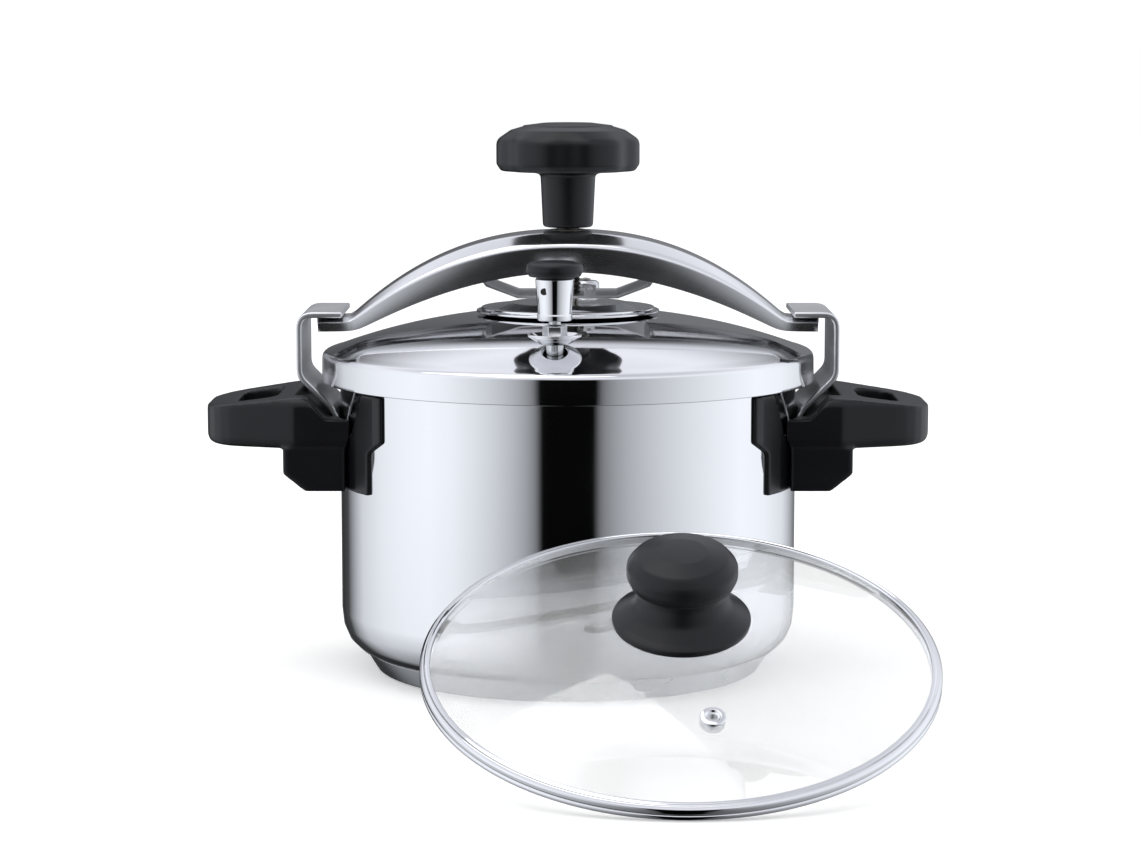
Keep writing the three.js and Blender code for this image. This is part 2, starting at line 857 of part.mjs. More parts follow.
function glassPane() {
  const radii = [glass.screwRadius + gap, ...[0.3, 0.6, 0.82, 1].map((share) => share * paneRadius)];
  const under = radii.map((radius) => [radius, paneUnder(radius)]);
  const over = under.map(([radius, height]) => [radius, height + glass.pane]).reverse();
  const vent = rod(glass.ventRadius - 1.7, 0, 3 * glass.rise).translate(glass.ventX, glass.ventY, 0);
  return cut(turned([...under, ...over], glassRound), vent);
}

function glassRim() {
  const outer = glass.radius;
  const inner = outer - glass.lip;
  const groove = outer - glass.lipWall;
  return turned([
    [inner, glass.rimLow + 0.8],
    [inner + 2, glass.rimLow],
    [outer, glass.rimLow],
    [outer, glass.rimHigh - 1.2],
    [outer - 1.5, glass.rimHigh],
    [inner, glass.rimHigh + 0.2],
    [inner, paneUnder(inner) + glass.pane + gap],
    [groove, glass.pane + gap],
    [groove, -gap],
    [inner, paneUnder(inner) - gap],
  ], glassRound);
}

const paneTop = glass.rise + glass.pane;

function glassKnob() {
  const low = paneTop + gap;
  const at = (share) => low + share * glass.knobHeight;
  const body = turned(
    [
      [0, low],
      [glass.flangeRadius, low],
      [glass.flangeRadius, at(0.07)],
      [0.8 * glass.flangeRadius, at(0.17)],
      [1.05 * glass.waistRadius, at(0.29)],
      [glass.waistRadius, at(0.4)],
      [1.04 * glass.waistRadius, at(0.49)],
      [0.94 * glass.knobRadius, at(0.56)],
      [glass.knobRadius, at(0.63)],
      [glass.knobRadius, at(0.8)],
      [0.85 * glass.knobRadius, at(0.92)],
      [0.43 * glass.knobRadius, at(0.985)],
      [0, at(1)],
    ],
    32,
  );
  return cut(body, rod(glass.screwRadius + gap, 0, low + 15, 12));
}

const washerTop = paneUnder(10) - gap;

function glassKnobWasher() {
  const hole = glass.screwRadius + gap;
  return turned([[hole, washerTop - 1.2], [9, washerTop - 1.2], [9, washerTop], [hole, washerTop]], 20);
}

function glassKnobScrew() {
  const headTop = washerTop - 1.2 - gap;
  return turned(
    [
      [0, headTop - 2.6],
      [3, headTop - 2.6],
      [4.8, headTop - 1],
      [4.8, headTop],
      [glass.screwRadius, headTop],
      [glass.screwRadius, paneTop + 14],
      [0, paneTop + 14],
    ],
    12,
  );
}

function ventGrommet() {
  const ring = Math.hypot(glass.ventX, glass.ventY);
  const upper = paneUnder(ring - glass.ventRadius) + glass.pane + gap;
  const lower = paneUnder(ring + glass.ventRadius) - gap;
  const neck = glass.ventRadius - 1.7 - gap;
  return turned(
    [
      [1.6, lower - 1],
      [glass.ventRadius, lower - 1],
      [glass.ventRadius, lower],
      [neck, lower],
      [neck, upper],
      [glass.ventRadius, upper],
      [glass.ventRadius - 0.6, upper + 1.2],
      [1.6, upper + 1.2],
    ],
    20,
  ).translate(glass.ventX, glass.ventY, 0);
}

// Assembly

const pressureCooker = new THREE.Group();

function add(name, geometry, material, parent = pressureCooker) {
  const mesh = new THREE.Mesh(geometry, material);
  mesh.name = name;
  parent.add(mesh);
  return mesh;
}

add("pot_body", potBody(), steel);
add("base_core", baseCore(), aluminium);
add("base_cap", baseCap(), satinSteel);
for (const [side, turn] of [["right", 0], ["left", Math.PI]]) {
  const half = new THREE.Group();
  half.rotation.z = turn;
  pressureCooker.add(half);
  add(side + "_hook", steelHook(), steel, half);
  add(side + "_handle_grip", sideGrip(), plastic, half);
  add(side + "_handle_collar", handleCollar(), plastic, half);
  add(side + "_handle_screw", handleScrew(), satinSteel, half);
}

add("lid_shell", lidShell(), steel);
add("lid_gasket", lidGasket(), rubber);
add("pressure_cup", pressureCup(), steel);
add("valve_stem", valveStem(), satinSteel);
add("valve_dish", valveDish(), steel);
const nutTop = dishLow + 1 + gap + nut.tallHeight;
add("valve_nut", hexNut(valve.x, valve.y, valve.stemRadius, nutTop, nut.tallHeight), satinSteel);
const underValve = domeHeight(valveRing + nut.acrossCorners / 2) - lid.sheet - gap;
add("valve_lock_nut", hexNut(valve.x, valve.y, valve.stemRadius, underValve, nut.height), satinSteel);
add("safety_valve_body", safetyBody(), steel);
const underSafety = domeHeight(safetyRing + nut.acrossCorners / 2) - lid.sheet - gap;
add("safety_valve_nut", hexNut(safety.x, safety.y, safety.stemRadius, underSafety, nut.height), satinSteel);
add("safety_valve_pin", safetyPin(), threadSteel);
add("valve_weight", valveWeight(), steel);
add("valve_cap", valveCap(), plastic);

add("clamp_knob", clampKnob(), plastic);
add("spindle", spindleScrew(), threadSteel);
add("spindle_clip", spindleClip(), satinSteel);
add("bridge_bush", bridgeBush(), threadSteel);
add("bridge_arch", bridgeArch(), steel);
add("bridge_strip", bridgeStrip(), steel);

// The glass lid leans with its front edge on the stove and its back edge on the pot.
const tilt = THREE.MathUtils.degToRad(glass.tilt);
const contactReach = Math.max(
  ...Array.from({ length: 41 }, (_, i) => {
    const x = (glass.x * i) / 40;
    const rimDepth = Math.cos(tilt) * Math.sqrt(glass.radius ** 2 - (x - glass.x) ** 2);
    return rimDepth + Math.sqrt(pot.outerRadius ** 2 - x ** 2);
  }),
);
const glassLid = new THREE.Group();
glassLid.rotation.x = tilt;
glassLid.position.set(
  glass.x,
  glass.rimLow * Math.sin(tilt) - gap - contactReach,
  glass.radius * Math.sin(tilt) - glass.rimLow * Math.cos(tilt),
);
pressureCooker.add(glassLid);
add("glass_pane", glassPane(), clear, glassLid);
add("glass_rim", glassRim(), steel, glassLid);
add("glass_knob", glassKnob(), plastic, glassLid);
add("glass_knob_washer", glassKnobWasher(), satinSteel, glassLid);
add("glass_knob_screw", glassKnobScrew(), satinSteel, glassLid);
add("vent_grommet", ventGrommet(), satinSteel, glassLid);

export default pressureCooker;
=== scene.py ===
"""Polished pressure cooker with a screw-down bridge, and its glass lid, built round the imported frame."""

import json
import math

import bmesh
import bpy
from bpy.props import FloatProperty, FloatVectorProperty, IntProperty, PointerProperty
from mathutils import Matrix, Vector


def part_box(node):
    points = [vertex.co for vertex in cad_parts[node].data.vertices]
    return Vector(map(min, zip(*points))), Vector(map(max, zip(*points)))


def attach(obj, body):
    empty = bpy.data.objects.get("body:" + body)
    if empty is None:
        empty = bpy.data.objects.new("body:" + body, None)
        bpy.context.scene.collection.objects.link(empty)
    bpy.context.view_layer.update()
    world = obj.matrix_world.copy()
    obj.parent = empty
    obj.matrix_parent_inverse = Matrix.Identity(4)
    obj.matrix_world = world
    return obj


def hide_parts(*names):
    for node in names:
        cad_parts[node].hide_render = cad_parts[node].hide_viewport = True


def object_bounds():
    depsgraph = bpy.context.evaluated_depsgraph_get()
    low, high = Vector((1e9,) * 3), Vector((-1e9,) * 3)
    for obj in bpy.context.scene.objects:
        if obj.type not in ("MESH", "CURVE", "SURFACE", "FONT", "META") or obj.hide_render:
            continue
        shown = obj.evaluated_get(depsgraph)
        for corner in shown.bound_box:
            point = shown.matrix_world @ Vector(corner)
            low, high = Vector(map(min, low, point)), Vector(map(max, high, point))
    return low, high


bl_info = {
    "name": "Pressure Cooker",
    "version": (1, 0, 0),
    "blender": (4, 5, 0),
    "location": "View3D > Sidebar > Cooker",
    "description": "Models a clamp-lid pressure cooker and its glass lid on a fixed frame",
    "category": "Object",
}

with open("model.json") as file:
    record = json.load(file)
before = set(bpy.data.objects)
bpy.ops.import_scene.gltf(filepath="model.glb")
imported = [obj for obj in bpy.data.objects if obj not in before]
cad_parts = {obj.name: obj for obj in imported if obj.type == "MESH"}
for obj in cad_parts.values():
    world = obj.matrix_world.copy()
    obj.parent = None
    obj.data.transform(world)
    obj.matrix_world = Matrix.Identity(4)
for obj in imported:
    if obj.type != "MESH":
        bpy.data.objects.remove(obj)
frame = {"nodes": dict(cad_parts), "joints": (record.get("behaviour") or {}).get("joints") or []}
cad_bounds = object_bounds()

MM = 0.001


def node_box(node):
    """Lowest and highest corner of a CAD node as vectors."""
    low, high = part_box(node)
    return Vector(low), Vector(high)


pot_low, pot_high = node_box("pot_body")
lid_low, lid_high = node_box("lid_shell")
cup_low, cup_high = node_box("pressure_cup")
knob_low, knob_high = node_box("clamp_knob")
arch_low, arch_high = node_box("bridge_arch")

BEAD_REACH = 1.8 * MM
POT_RADIUS = pot_high.x - BEAD_REACH
LID_RADIUS = lid_high.x


# Settings that a user would change


class CookerSizes(bpy.types.PropertyGroup):
    """Sizes of the details that the frame leaves open"""

    pot_sheet: FloatProperty(
        name="Pot sheet", description="Thickness of the pot's wall", default=1.2 * MM, unit="LENGTH"
    )
    lid_sheet: FloatProperty(
        name="Lid sheet", description="Thickness of the lid's steel", default=1.2 * MM, unit="LENGTH"
    )
    hook_sheet: FloatProperty(
        name="Hook strap", description="Thickness of the steel hooks", default=2.8 * MM, unit="LENGTH"
    )
    bridge_sheet: FloatProperty(
        name="Bridge sheet", description="Thickness of the pressed bridge", default=2.0 * MM, unit="LENGTH"
    )
    knob_lobes: IntProperty(name="Knob lobes", description="Hollows round the clamp knob", default=6, min=3)
    knob_hollow: FloatProperty(
        name="Knob hollow", description="Depth of the hollows between lobes", default=2.4 * MM, unit="LENGTH"
    )
    thread_pitch: FloatProperty(
        name="Thread pitch",
        description="Rise of the spindle's thread per turn",
        default=2.0 * MM,
        unit="LENGTH",
    )
    round_steps: IntProperty(
        name="Round steps",
        description="Faces round the pot and lids",
        default=144,
        min=32,
    )


class CookerColours(bpy.types.PropertyGroup):
    """Colours of the finishes"""

    steel: FloatVectorProperty(
        name="Polished steel",
        description="Colour of mirror steel",
        default=(0.83, 0.835, 0.845),
        subtype="COLOR",
    )
    satin: FloatVectorProperty(
        name="Satin steel",
        description="Colour of turned and rolled steel",
        default=(0.62, 0.63, 0.64),
        subtype="COLOR",
    )
    thread: FloatVectorProperty(
        name="Oiled steel",
        description="Colour of the spindle and its bush",
        default=(0.33, 0.32, 0.29),
        subtype="COLOR",
    )
    plastic: FloatVectorProperty(
        name="Black plastic",
        description="Colour of grips and knobs",
        default=(0.005, 0.0053, 0.0075),
        subtype="COLOR",
    )
    rubber: FloatVectorProperty(
        name="Rubber", description="Colour of the lid's gasket", default=(0.02, 0.02, 0.02), subtype="COLOR"
    )
    glass: FloatVectorProperty(
        name="Glass", description="Tint of the glass lid", default=(0.96, 0.98, 0.975), subtype="COLOR"
    )


class StudioSettings(bpy.types.PropertyGroup):
    """Camera and light of the studio"""

    camera_distance: FloatProperty(
        name="Camera distance", description="From the pot's axis to the camera", default=1.5, unit="LENGTH"
    )
    camera_height: FloatProperty(
        name="Camera height", description="Above the floor", default=0.305, unit="LENGTH"
    )
    aim_height: FloatProperty(
        name="Aim height", description="Height that the camera looks at", default=0.117, unit="LENGTH"
    )
    lens: FloatProperty(name="Lens", description="Focal length of the camera", default=97.3, unit="CAMERA")
    sky_strength: FloatProperty(
        name="Sky strength",
        description="Brightness of the studio walls",
        default=1.15,
    )
    top_power: FloatProperty(
        name="Top light",
        description="Power of the overhead light",
        default=9.0,
        unit="POWER",
    )


# Materials


def shader_nodes(name):
    """A new material with its node tree, its Principled shader and object coordinates."""
    material = bpy.data.materials.new(name)
    material.use_nodes = True
    nodes = material.node_tree.nodes
    shader = nodes["Principled BSDF"]
    coordinates = nodes.new("ShaderNodeTexCoord")
    return material, shader, coordinates.outputs["Object"]


def noise_value(material, vector, scale, detail=4.0, stretch=(1.0, 1.0, 1.0)):
    """A noise pattern's value output, stretched along the axes."""
    nodes, links = material.node_tree.nodes, material.node_tree.links
    mapping = nodes.new("ShaderNodeMapping")
    mapping.inputs["Scale"].default_value = stretch
    noise = nodes.new("ShaderNodeTexNoise")
    noise.inputs["Scale"].default_value = scale
    noise.inputs["Detail"].default_value = detail
    links.new(vector, mapping.inputs["Vector"])
    links.new(mapping.outputs["Vector"], noise.inputs["Vector"])
    return noise.outputs["Fac"]


def drive_range(material, value, socket, low, high):
    """Feeds a shader socket with a value spread between low and high."""
    nodes, links = material.node_tree.nodes, material.node_tree.links
    spread = nodes.new("ShaderNodeMapRange")
    spread.inputs["From Min"].default_value = 0.3
    spread.inputs["From Max"].default_value = 0.7
    spread.inputs["To Min"].default_value = low
    spread.inputs["To Max"].default_value = high
    links.new(value, spread.inputs["Value"])
    links.new(spread.outputs["Result"], socket)


def drive_colour(material, value, socket, colour, shade):
    """Varies a colour between itself and a shade of itself."""
    nodes, links = material.node_tree.nodes, material.node_tree.links
    mix = nodes.new("ShaderNodeMix")
    mix.data_type = "RGBA"
    mix.inputs["A"].default_value = (*(part * shade for part in colour), 1.0)
    mix.inputs["B"].default_value = (*colour, 1.0)
    links.new(value, mix.inputs["Factor"])
    links.new(mix.outputs["Result"], socket)


def add_bump(material, shader, value, distance, strength):
    """A bump from a value, on the shader's normal."""
    nodes, links = material.node_tree.nodes, material.node_tree.links
    bump = nodes.new("ShaderNodeBump")
    bump.inputs["Distance"].default_value = distance
    bump.inputs["Strength"].default_value = strength
    links.new(value, bump.inputs["Height"])
    links.new(bump.outputs["Normal"], shader.inputs["Normal"])


def metal(name, colour, roughness, grain_scale, stretch, depth):
    """A metal with clouded roughness and a fine directional grain."""
    material, shader, vector = shader_nodes(name)
    shader.inputs["Metallic"].default_value = 1.0
    clouds = noise_value(material, vector, 14.0, 3.0)
    grain = noise_value(material, vector, grain_scale, 5.0, stretch)
    drive_colour(material, clouds, shader.inputs["Base Color"], colour, 0.96)
    drive_range(material, clouds, shader.inputs["Roughness"], roughness[0], roughness[1])
    add_bump(material, shader, grain, depth, 0.35)
    return material


def moulded(name, colour, roughness, depth, specular=0.5):
    """Moulded plastic or rubber with a fine grain and faint flow marks."""
    material, shader, vector = shader_nodes(name)
    shader.inputs["Specular IOR Level"].default_value = specular
    clouds = noise_value(material, vector, 22.0, 4.0)
    grain = noise_value(material, vector, 1600.0, 3.0)
    drive_colour(material, clouds, shader.inputs["Base Color"], colour, 0.7)
    drive_range(material, clouds, shader.inputs["Roughness"], roughness[0], roughness[1])
    add_bump(material, shader, grain, depth, 0.5)
    return material


def clear_glass(name, colour):
    """Clear tempered glass with a faint unevenness."""
    material, shader, vector = shader_nodes(name)
    shader.inputs["Transmission Weight"].default_value = 0.8
    shader.inputs["Alpha"].default_value = 0.32
    shader.inputs["IOR"].default_value = 1.45
    clouds = noise_value(material, vector, 9.0, 2.0)
    drive_colour(material, clouds, shader.inputs["Base Color"], colour, 0.99)
    drive_range(material, clouds, shader.inputs["Roughness"], 0.0, 0.015)
    return material


finishes = {}


def make_finishes(colours):
    """Every finish, under its slot's name in the record."""
    finishes["polished_steel"] = metal(
        "polished_steel", colours.steel, (0.035, 0.075), 260.0, (1, 1, 0.08), 0.00001
    )
    finishes["satin_steel"] = metal("satin_steel", colours.satin, (0.2, 0.32), 420.0, (0.2, 0.2, 4), 0.00003)
    finishes["worn_steel"] = metal("worn_steel", colours.steel, (0.26, 0.4), 340.0, (1, 0.1, 1), 0.00002)
    finishes["pressed_steel"] = metal(
        "pressed_steel", colours.steel, (0.15, 0.22), 300.0, (0.1, 1, 1), 0.00001
    )
    finishes["thread_steel"] = metal("thread_steel", colours.thread, (0.26, 0.42), 300.0, (1, 1, 3), 0.00004)
    finishes["aluminium"] = metal("aluminium", (0.7, 0.71, 0.72), (0.35, 0.5), 300.0, (1, 1, 1), 0.00005)
    finishes["black_plastic"] = moulded("black_plastic", colours.plastic, (0.28, 0.38), 0.00006, 0.35)
    finishes["rubber"] = moulded("rubber", colours.rubber, (0.6, 0.75), 0.00008, 0.3)
    finishes["glass"] = clear_glass("glass", colours.glass)


# Mesh helpers


def filleted(points, closed=False, steps=5):
    """(r, z) points, with a curve in place of each corner that has a third number, its radius."""
    corners = [((point[0], point[1]), point[2] if len(point) > 2 else 0) for point in points]
    smooth = []
    for i, (corner, radius) in enumerate(corners):
        here = Vector(corner)
        if not radius or (not closed and i in (0, len(corners) - 1)):
            smooth.append(here)
            continue
        before = Vector(corners[i - 1][0]) - here
        after = Vector(corners[(i + 1) % len(corners)][0]) - here
        half_angle = before.angle(after) / 2
        reach = min(radius / math.tan(half_angle), 0.49 * before.length, 0.49 * after.length)
        start = here + before.normalized() * reach
        end = here + after.normalized() * reach
        for step in range(steps + 1):
            t = step / steps
            smooth.append(start * (1 - t) ** 2 + here * 2 * t * (1 - t) + end * t**2)
    return [(point.x, point.y) for point in smooth]


def turned(profile, steps):
    """A bmesh of a closed profile of (r, z) points spun about Z."""
    mesh = bmesh.new()
    verts = [mesh.verts.new((max(r, 0.0), 0.0, z)) for r, z in profile]
    edges = [mesh.edges.new(pair) for pair in zip(verts, verts[1:])]
    if profile[0][0] > 0 or profile[-1][0] > 0:
        edges.append(mesh.edges.new((verts[-1], verts[0])))
    bmesh.ops.spin(
        mesh,
        geom=verts + edges,
        cent=(0, 0, 0),
        axis=(0, 0, 1),
        angle=2 * math.pi,
        steps=steps,
        use_merge=True,
    )
    bmesh.ops.remove_doubles(mesh, verts=mesh.verts, dist=1e-6)
    bmesh.ops.dissolve_degenerate(mesh, edges=mesh.edges, dist=1e-7)
    return mesh


def piece(mesh, name, body, slot_name, nodes=(), sharp=34.0):
    """Turns a bmesh into a named piece that rides on a body and stands for its CAD nodes."""
    bmesh.ops.recalc_face_normals(mesh, faces=mesh.faces)
    data = bpy.data.meshes.new(name)
    mesh.to_mesh(data)
    mesh.free()
    thing = bpy.data.objects.new(name, data)
    bpy.context.scene.collection.objects.link(thing)
    data.shade_smooth()
    data.set_sharp_from_angle(angle=math.radians(sharp))
    data.materials.append(finishes[slot_name])
    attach(thing, body)
    if nodes:
        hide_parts(*nodes)
    return thing


def turned_piece(name, body, slot_name, profile, nodes=(), steps=64, place=None, closed=False):
    """A piece spun from a filleted profile, and moved by a matrix where one is given."""
    mesh = turned(filleted(profile, closed), steps)
    if place is not None:
        bmesh.ops.transform(mesh, matrix=place, verts=mesh.verts)
    return piece(mesh, name, body, slot_name, nodes)


def centre_of(node):
    """Centre of a node's box, as a sideways move from the pot's axis."""
    low, high = node_box(node)
    middle = (low + high) / 2
    return Matrix.Translation((middle.x, middle.y, 0))


def cad_copy(node):
    """A merged copy of a CAD node's mesh."""
    mesh = bmesh.new()
    mesh.from_mesh(frame["nodes"][node].data)
    bmesh.ops.remove_doubles(mesh, verts=mesh.verts, dist=1e-5)
    return mesh


def add_modifier(thing, name, kind, **values):
    """A modifier with its settings."""
    modifier = thing.modifiers.new(name, kind)
    for key, value in values.items():
        setattr(modifier, key, value)
    return modifier


def apply_modifiers(thing):
    """Bakes every modifier into the mesh."""
    graph = bpy.context.evaluated_depsgraph_get()
    finished = bpy.data.meshes.new_from_object(thing.evaluated_get(graph))
    thing.modifiers.clear()
    thing.data = finished


def softened(node, name, body, slot_name, voxel, rounds):
    """A moulded piece: the node's shape with all its edges rounded."""
    thing = piece(cad_copy(node), name, body, slot_name, (node,))
    add_modifier(thing, "Remesh", "REMESH", mode="VOXEL", voxel_size=voxel)
    add_modifier(thing, "Smooth", "SMOOTH", factor=0.6, iterations=rounds)
    apply_modifiers(thing)
    thing.data.shade_smooth()
    return thing


def paint(node, slot_name, bevel=0.0):
    """Gives a kept CAD node its finish, and a small bevel where one is asked for."""
    thing = frame["nodes"][node]
    thing.data.materials.clear()
    thing.data.materials.append(finishes[slot_name])
    for slot in thing.material_slots:
        slot.material = finishes[slot_name]
    if bevel:
        add_modifier(thing, "Weld", "WELD", merge_threshold=1e-5)
        add_modifier(thing, "Bevel", "BEVEL", width=bevel, segments=2, limit_method="ANGLE", angle_limit=0.6)


# Pot, base, hooks and handles


class COOKER_OT_pot(bpy.types.Operator):
    """Spin the pot and the cap under its base"""

    bl_idname = "cooker.pot"
    bl_label = "Pot and base"

    def execute(self, context):
        sizes = context.scene.cooker_sizes
        sheet = sizes.pot_sheet
        floor, rim = pot_low.z, pot_high.z
        corner = 22 * MM
        bead = 1.5 * MM
        turned_piece(
            "pot_shell",
            "pot",
            "polished_steel",
            [
                (0, floor),
                (POT_RADIUS, floor, corner),
                (POT_RADIUS, rim - 2.4 * MM, 0.8 * MM),
                (POT_RADIUS + bead, rim - 1.6 * MM, 0.6 * MM),
                (POT_RADIUS + bead, rim, 0.7 * MM),
                (POT_RADIUS - sheet, rim, 0.7 * MM),
                (POT_RADIUS - sheet, floor + sheet, corner - sheet),
                (0, floor + sheet),
            ],
            ("pot_body",),
            sizes.round_steps,
        )
        cap_high = node_box("base_cap")[1]
        foot = 94 * MM
        cap_sheet = 0.8 * MM
        turned_piece(
            "base_disc",
            "pot",
            "satin_steel",
            [
                (0, 0.6 * MM),
                (foot - 28 * MM, 0.6 * MM, 0.6 * MM),
                (foot - 29 * MM, 0, 0.6 * MM),
                (foot, 0, 1.6 * MM),
                (cap_high.x, cap_high.z, 0.4 * MM),
                (cap_high.x - cap_sheet, cap_high.z, 0.3 * MM),
                (foot - cap_sheet, cap_sheet + 0.6 * MM, 1 * MM),
                (0, cap_sheet + 0.6 * MM),
            ],
            ("base_cap",),
            sizes.round_steps,
        )
        paint("base_core", "aluminium")
        return {"FINISHED"}


def strap(line, thickness, width, spread=6):
    """A bent strip of sheet: a line of (x, z) points drawn out along Y and thickened."""
    mesh = bmesh.new()
    verts = [mesh.verts.new((x, -width / 2, z)) for x, z in line]
    for pair in zip(verts, verts[1:]):
        mesh.edges.new(pair)
    front = list(mesh.edges)
    for _ in range(spread):
        made = bmesh.ops.extrude_edge_only(mesh, edges=front)["geom"]
        moved = [part for part in made if isinstance(part, bmesh.types.BMVert)]
        bmesh.ops.translate(mesh, vec=(0, width / spread, 0), verts=moved)
        front = [part for part in made if isinstance(part, bmesh.types.BMEdge)
                 and all(vert in moved for vert in part.verts)]
    bmesh.ops.recalc_face_normals(mesh, faces=mesh.faces)
    bmesh.ops.solidify(mesh, geom=list(mesh.faces) + list(mesh.edges) + list(mesh.verts), thickness=thickness)
    return mesh


def turn_round(mesh, side):
    """Turns a right-hand piece's mesh half a turn for the left side."""
    if side == "left":
        bmesh.ops.rotate(mesh, verts=mesh.verts, cent=(0, 0, 0), matrix=Matrix.Rotation(math.pi, 3, "Z"))


def bevelled(thing, width, segments=3, angle=0.6):
    """Rounds a piece's sharp edges."""
    settings = {"width": width, "segments": segments, "limit_method": "ANGLE", "angle_limit": angle}
    add_modifier(thing, "Bevel", "BEVEL", **settings)
    apply_modifiers(thing)
    thing.data.shade_smooth()
    thing.data.set_sharp_from_angle(angle=math.radians(50))
    return thing


class COOKER_OT_hooks(bpy.types.Operator):
    """Bend the two steel straps that hold the bridge down"""

    bl_idname = "cooker.hooks"
    bl_label = "Hooks"

    def execute(self, context):
        sheet = context.scene.cooker_sizes.hook_sheet
        low, high = node_box("right_hook")
        leg = high.x - sheet / 2
        plate = high.z - sheet / 2
        foot = POT_RADIUS + 0.3 * MM + sheet / 2
        sweep = 12 * MM
        sweep_top = pot_high.z - 2 * MM
        swept_x = leg - sweep * (1 - math.sqrt(0.5))
        foot_bend = sweep_top - sweep * math.sqrt(0.5) - (swept_x - foot)
        line = filleted(
            [
                (low.x, plate),
                (leg, plate, 8 * MM),
                (leg, sweep_top - sweep * 0.41, sweep * 0.9),
                (foot, foot_bend, 4 * MM),
                (foot, foot_bend - 8 * MM),
                (foot, low.z),
            ],
            steps=8,
        )
        boss_reach = 4.7 * MM
        boss_radius = 5 * MM
        boss_height = foot_bend - 22.5 * MM
        boss_place = Matrix.Translation((foot + boss_reach / 2, 0, boss_height))
        boss_place @= Matrix.Rotation(math.pi / 2, 4, "Y")
        bend_top = foot_bend + 1 * MM
        bend_length = 5 * MM
        for side in ("right", "left"):
            mesh = strap(line, sheet, high.y - low.y, 14)
            reach_x = max(vert.co.x for vert in mesh.verts)
            reach_z = max(vert.co.z for vert in mesh.verts)
            bmesh.ops.translate(mesh, vec=(high.x - reach_x, 0, high.z - reach_z), verts=mesh.verts)
            for vert in mesh.verts:
                welded = min(max((bend_top - vert.co.z) / bend_length, 0.0), 1.0)
                vert.co.x -= welded * (foot - math.sqrt(foot**2 - vert.co.y**2))
            bmesh.ops.create_cone(
                mesh,
                cap_ends=True,
                segments=32,
                radius1=boss_radius,
                radius2=boss_radius,
                depth=boss_reach,
                matrix=boss_place,
            )
            turn_round(mesh, side)
            hook = piece(mesh, side + "_hook_strap", "pot", "polished_steel", (side + "_hook",))
            bevelled(hook, 0.8 * MM)
            hook.data.materials[0] = finishes["worn_steel"]
        return {"FINISHED"}


class COOKER_OT_handles(bpy.types.Operator):
    """Round off the black side grips and their collars"""

    bl_idname = "cooker.handles"
    bl_label = "Side handles"

    def execute(self, context):
        for side in ("right", "left"):
            softened(side + "_handle_grip", side + "_grip", "pot", "black_plastic", 0.9 * MM, 7)
            softened(side + "_handle_collar", side + "_collar", "pot", "black_plastic", 0.7 * MM, 3)
            paint(side + "_handle_screw", "satin_steel")
        return {"FINISHED"}


# Lid and its valves


class COOKER_OT_lid(bpy.types.Operator):
    """Spin the domed lid and the pressure cup, and give the gasket its rubber finish"""

    bl_idname = "cooker.lid"
    bl_label = "Lid"

    def execute(self, context):
        sizes = context.scene.cooker_sizes
        sheet = sizes.lid_sheet
        bottom, top = lid_low.z, lid_high.z
        fold = 4 * MM
        shoulder = pot_high.z + 1.4 * MM + fold
        dome_radius = LID_RADIUS - fold / 2
        flat = 32 * MM
        rise = 20 * MM

        def dome(radius):
            return shoulder + rise * (1 - (radius / dome_radius) ** 2.25)

        radii = [dome_radius * (0.97 - 0.69 * i / 24) for i in range(25)]
        outer = [(radius, dome(radius)) for radius in radii if radius > flat]
        inner = [(radius, height - sheet) for radius, height in reversed(outer)]
        turned_piece(
            "lid_dome",
            "lid",
            "polished_steel",
            [
                (0, top),
                (flat, top, 8 * MM),
                *reversed(outer),
                (LID_RADIUS - 0.2 * MM, shoulder - 0.2 * MM, 4.6 * MM),
                (LID_RADIUS, bottom, 0.5 * MM),
                (LID_RADIUS - sheet, bottom, 0.5 * MM),
                (LID_RADIUS - sheet - 0.2 * MM, shoulder - sheet - 0.2 * MM, 3.4 * MM),
                *reversed(inner),
                (flat, top - sheet, 8 * MM),
                (0, top - sheet),
            ],
            ("lid_shell",),
            sizes.round_steps,
        )
        paint("lid_gasket", "rubber")
        seat, rim = cup_low.z, cup_high.x
        layer = 1.5 * MM
        turned_piece(
            "cup",
            "lid",
            "polished_steel",
            [
                (5.3 * MM, cup_high.z - layer),
                (28 * MM, cup_high.z - layer, 3 * MM),
                (35.5 * MM, seat, 1 * MM),
                (rim, seat, 0.5 * MM),
                (rim, seat + 0.7 * layer, 0.5 * MM),
                (rim - 1.6 * MM, seat + 0.7 * layer, 0.2 * MM),
                (rim - 2.4 * MM, seat + layer, 0.2 * MM),
                (rim - 2.4 * MM, seat + 1.6 * layer, 0.5 * MM),
                (rim - 6.5 * MM, seat + 1.7 * layer, 2 * MM),
                (28 * MM, cup_high.z, 4 * MM),
                (5.3 * MM, cup_high.z),
            ],
            ("pressure_cup",),
            96,
            closed=True,
        )
        return {"FINISHED"}


